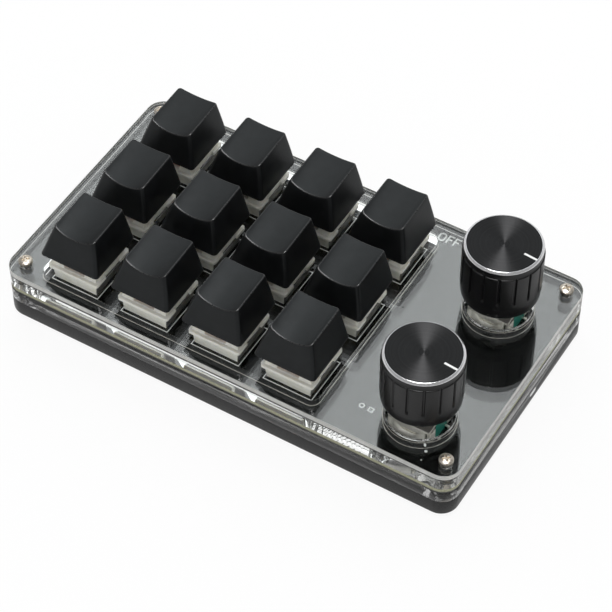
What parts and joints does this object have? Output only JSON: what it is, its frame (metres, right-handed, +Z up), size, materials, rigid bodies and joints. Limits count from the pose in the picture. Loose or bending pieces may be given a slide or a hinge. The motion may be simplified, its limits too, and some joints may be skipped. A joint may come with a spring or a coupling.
{
  "type": "one-handed keypad",
  "caption": "Layered desk keypad: a block of sculpted black keys on one side, a column of push-and-turn knobs on the other, clear plates over a black tray.",
  "frame": {"origin": "middle of the case's footprint, on the plane that the rubber feet stand on", "axes": "+X to the user's right, towards the knobs; +Y away from the user; +Z up, out of the keys"},
  "size_m": [0.136, 0.0754, 0.0409],
  "materials": {
    "tray": "fine-textured black moulding",
    "foot_rubber": "matt",
    "clear_sheet": "clear polished acrylic sheet",
    "board": "black solder mask over glass-fibre board",
    "screw_metal": "nickel plated steel",
    "switch_housing": "milky off-white nylon",
    "switch_cover": "milky off-white nylon",
    "contact_copper": "bare copper alloy",
    "stem_plastic": "dark acetal",
    "spring_steel": "drawn wire",
    "battery_foil": "laminated foil pouch",
    "port_steel": "drawn steel shell",
    "chip_black": "moulded chip package",
    "switch_can": "folded steel can",
    "lever_white": "moulded",
    "window_milky": "milky light guide",
    "encoder_green": "teal moulding",
    "encoder_metal": "folded sheet",
    "rotor_white": "moulded",
    "shaft_metal": "turned",
    "knob_black": "black anodised, turned and bright-cut",
    "keycap_black": "satin black"
  },
  "bodies": {
    "case": {"base_tray": "tray", "rubber_feet": "foot_rubber", "lower_frame": "clear_sheet", "circuit_board": "board", "upper_frame": "clear_sheet", "top_plate": "clear_sheet", "corner_screws": "screw_metal", "switch_bases": "switch_housing", "switch_covers": "switch_cover", "switch_contacts": "contact_copper", "battery": "battery_foil", "usb_port": "port_steel", "board_chips": "chip_black", "power_switch_body": "switch_can", "status_window": "window_milky", "encoder_bases": "encoder_green", "encoder_brackets": "encoder_metal", "spring_r1c1": "spring_steel", "spring_r1c2": "spring_steel", "spring_r1c3": "spring_steel", "spring_r1c4": "spring_steel", "spring_r2c1": "spring_steel", "spring_r2c2": "spring_steel", "spring_r2c3": "spring_steel", "spring_r2c4": "spring_steel", "spring_r3c1": "spring_steel", "spring_r3c2": "spring_steel", "spring_r3c3": "spring_steel", "spring_r3c4": "spring_steel"},
    "key_r1c1": {"keycap_r1c1": "keycap_black", "stem_r1c1": "stem_plastic"},
    "key_r1c2": {"keycap_r1c2": "keycap_black", "stem_r1c2": "stem_plastic"},
    "key_r1c3": {"keycap_r1c3": "keycap_black", "stem_r1c3": "stem_plastic"},
    "key_r1c4": {"keycap_r1c4": "keycap_black", "stem_r1c4": "stem_plastic"},
    "key_r2c1": {"keycap_r2c1": "keycap_black", "stem_r2c1": "stem_plastic"},
    "key_r2c2": {"keycap_r2c2": "keycap_black", "stem_r2c2": "stem_plastic"},
    "key_r2c3": {"keycap_r2c3": "keycap_black", "stem_r2c3": "stem_plastic"},
    "key_r2c4": {"keycap_r2c4": "keycap_black", "stem_r2c4": "stem_plastic"},
    "key_r3c1": {"keycap_r3c1": "keycap_black", "stem_r3c1": "stem_plastic"},
    "key_r3c2": {"keycap_r3c2": "keycap_black", "stem_r3c2": "stem_plastic"},
    "key_r3c3": {"keycap_r3c3": "keycap_black", "stem_r3c3": "stem_plastic"},
    "key_r3c4": {"keycap_r3c4": "keycap_black", "stem_r3c4": "stem_plastic"},
    "front_rotor_set": {"front_rotor": "rotor_white"},
    "front_knob_set": {"front_shaft": "shaft_metal", "front_knob": "knob_black"},
    "rear_rotor_set": {"rear_rotor": "rotor_white"},
    "rear_knob_set": {"rear_shaft": "shaft_metal", "rear_knob": "knob_black"},
    "power_lever": {"power_slider": "lever_white"}
  },
  "joints": [
    {"name": "press_r1c1", "type": "slide", "parent": "case", "child": "key_r1c1", "axis": [0, 0, -1], "range_m": [0, 0.004], "stiffness_N_per_m": 75, "springref_m": -0.004, "deforming": ["spring_r1c1"]},
    {"name": "press_r1c2", "type": "slide", "parent": "case", "child": "key_r1c2", "axis": [0, 0, -1], "range_m": [0, 0.004], "stiffness_N_per_m": 75, "springref_m": -0.004, "deforming": ["spring_r1c2"]},
    {"name": "press_r1c3", "type": "slide", "parent": "case", "child": "key_r1c3", "axis": [0, 0, -1], "range_m": [0, 0.004], "stiffness_N_per_m": 75, "springref_m": -0.004, "deforming": ["spring_r1c3"]},
    {"name": "press_r1c4", "type": "slide", "parent": "case", "child": "key_r1c4", "axis": [0, 0, -1], "range_m": [0, 0.004], "stiffness_N_per_m": 75, "springref_m": -0.004, "deforming": ["spring_r1c4"]},
    {"name": "press_r2c1", "type": "slide", "parent": "case", "child": "key_r2c1", "axis": [0, 0, -1], "range_m": [0, 0.004], "stiffness_N_per_m": 75, "springref_m": -0.004, "deforming": ["spring_r2c1"]},
    {"name": "press_r2c2", "type": "slide", "parent": "case", "child": "key_r2c2", "axis": [0, 0, -1], "range_m": [0, 0.004], "stiffness_N_per_m": 75, "springref_m": -0.004, "deforming": ["spring_r2c2"]},
    {"name": "press_r2c3", "type": "slide", "parent": "case", "child": "key_r2c3", "axis": [0, 0, -1], "range_m": [0, 0.004], "stiffness_N_per_m": 75, "springref_m": -0.004, "deforming": ["spring_r2c3"]},
    {"name": "press_r2c4", "type": "slide", "parent": "case", "child": "key_r2c4", "axis": [0, 0, -1], "range_m": [0, 0.004], "stiffness_N_per_m": 75, "springref_m": -0.004, "deforming": ["spring_r2c4"]},
    {"name": "press_r3c1", "type": "slide", "parent": "case", "child": "key_r3c1", "axis": [0, 0, -1], "range_m": [0, 0.004], "stiffness_N_per_m": 75, "springref_m": -0.004, "deforming": ["spring_r3c1"]},
    {"name": "press_r3c2", "type": "slide", "parent": "case", "child": "key_r3c2", "axis": [0, 0, -1], "range_m": [0, 0.004], "stiffness_N_per_m": 75, "springref_m": -0.004, "deforming": ["spring_r3c2"]},
    {"name": "press_r3c3", "type": "slide", "parent": "case", "child": "key_r3c3", "axis": [0, 0, -1], "range_m": [0, 0.004], "stiffness_N_per_m": 75, "springref_m": -0.004, "deforming": ["spring_r3c3"]},
    {"name": "press_r3c4", "type": "slide", "parent": "case", "child": "key_r3c4", "axis": [0, 0, -1], "range_m": [0, 0.004], "stiffness_N_per_m": 75, "springref_m": -0.004, "deforming": ["spring_r3c4"]},
    {"name": "front_knob_turn", "type": "hinge", "parent": "case", "child": "front_rotor_set", "pos_m": [0.0504, -0.02195, 0.014], "axis": [0, 0, 1], "continuous": true},
    {"name": "front_knob_push", "type": "slide", "parent": "front_rotor_set", "child": "front_knob_set", "axis": [0, 0, -1], "range_m": [0, 0.0005], "stiffness_N_per_m": 3000, "springref_m": -0.001},
    {"name": "rear_knob_turn", "type": "hinge", "parent": "case", "child": "rear_rotor_set", "pos_m": [0.0504, 0.01985, 0.014], "axis": [0, 0, 1], "continuous": true},
    {"name": "rear_knob_push", "type": "slide", "parent": "rear_rotor_set", "child": "rear_knob_set", "axis": [0, 0, -1], "range_m": [0, 0.0005], "stiffness_N_per_m": 3000, "springref_m": -0.001},
    {"name": "power_slide", "type": "slide", "parent": "case", "child": "power_lever", "axis": [1, 0, 0], "range_m": [0, 0.002]}
  ]
}
